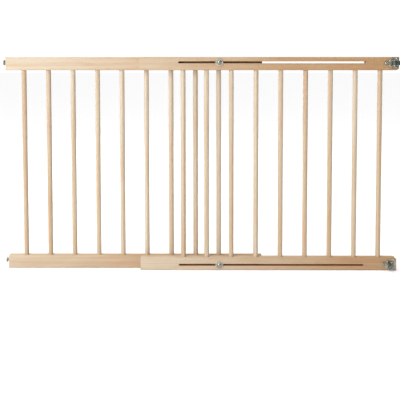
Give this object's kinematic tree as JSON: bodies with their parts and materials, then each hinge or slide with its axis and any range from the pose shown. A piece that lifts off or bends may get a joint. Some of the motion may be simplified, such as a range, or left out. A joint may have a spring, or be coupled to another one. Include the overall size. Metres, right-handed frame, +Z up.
{
  "type": "safety baby gate",
  "caption": "Width-adjustable wooden stair gate: two spindle panels that slide over each other, clamp bolts with wing nuts, swing hinges and latch studs.",
  "frame": {"origin": "centre of the gate's overall box, on the surface that its bottom rails stand on", "axes": "+X along the width towards the hinge end, +Y from the front panel to the rear panel, +Z up"},
  "size_m": [1.1325, 0.1016, 0.6],
  "materials": {
    "pine_rail": "planed and sanded pine, clear and matt",
    "pine_spindle": "turned pine, clear and matt",
    "zinc_sheet": "pressed sheet steel, zinc plated",
    "bright_zinc": "bright zinc plate",
    "dull_zinc": "dull zinc plate",
    "zinc_fastener": "zinc plate, lightly worn"
  },
  "bodies": {
    "rear_panel": {"rear_top_rail": "pine_rail", "rear_bottom_rail": "pine_rail", "rear_spindle_1": "pine_spindle", "rear_spindle_2": "pine_spindle", "rear_spindle_3": "pine_spindle", "rear_spindle_4": "pine_spindle", "rear_spindle_5": "pine_spindle", "rear_spindle_6": "pine_spindle", "rear_spindle_7": "pine_spindle", "rear_spindle_8": "pine_spindle", "rear_spindle_9": "pine_spindle", "upper_clamp_bolt": "zinc_fastener", "upper_front_washer": "dull_zinc", "upper_back_washer": "dull_zinc", "upper_latch_stud": "zinc_fastener", "upper_stud_washer": "dull_zinc", "lower_clamp_bolt": "zinc_fastener", "lower_front_washer": "dull_zinc", "lower_back_washer": "dull_zinc", "lower_latch_stud": "zinc_fastener", "lower_stud_washer": "dull_zinc"},
    "front_panel": {"front_top_rail": "pine_rail", "front_bottom_rail": "pine_rail", "front_spindle_1": "pine_spindle", "front_spindle_2": "pine_spindle", "front_spindle_3": "pine_spindle", "front_spindle_4": "pine_spindle", "front_spindle_5": "pine_spindle", "front_spindle_6": "pine_spindle", "front_spindle_7": "pine_spindle", "front_spindle_8": "pine_spindle", "front_spindle_9": "pine_spindle", "upper_hinge_plate": "zinc_sheet", "upper_hinge_screws": "bright_zinc", "upper_hinge_pin": "bright_zinc", "upper_pin_clip": "bright_zinc", "lower_hinge_plate": "zinc_sheet", "lower_hinge_screws": "bright_zinc", "lower_hinge_pin": "bright_zinc", "lower_pin_clip": "bright_zinc"},
    "upper_nut": {"upper_wing_nut": "zinc_fastener"},
    "lower_nut": {"lower_wing_nut": "zinc_fastener"},
    "upper_leaf": {"upper_wall_leaf": "zinc_sheet"},
    "lower_leaf": {"lower_wall_leaf": "zinc_sheet"}
  },
  "joints": [
    {"name": "panel_slide", "type": "slide", "parent": "rear_panel", "child": "front_panel", "axis": [1, 0, 0], "range_m": [-0.38, 0.11]},
    {"name": "upper_nut_spin", "type": "hinge", "parent": "rear_panel", "child": "upper_nut", "pos_m": [0.04225, 0.03917, 0.585], "axis": [0, 1, 0], "continuous": true},
    {"name": "lower_nut_spin", "type": "hinge", "parent": "rear_panel", "child": "lower_nut", "pos_m": [0.04225, 0.03917, 0.015], "axis": [0, 1, 0], "continuous": true},
    {"name": "upper_leaf_swing", "type": "hinge", "parent": "front_panel", "child": "upper_leaf", "pos_m": [0.52625, -0.01363, 0.583], "axis": [0, 0, 1], "range_deg": [-175, 0]},
    {"name": "lower_leaf_swing", "type": "hinge", "parent": "front_panel", "child": "lower_leaf", "pos_m": [0.52625, -0.01363, 0.017], "axis": [0, 0, 1], "range_deg": [-55, 120]}
  ]
}
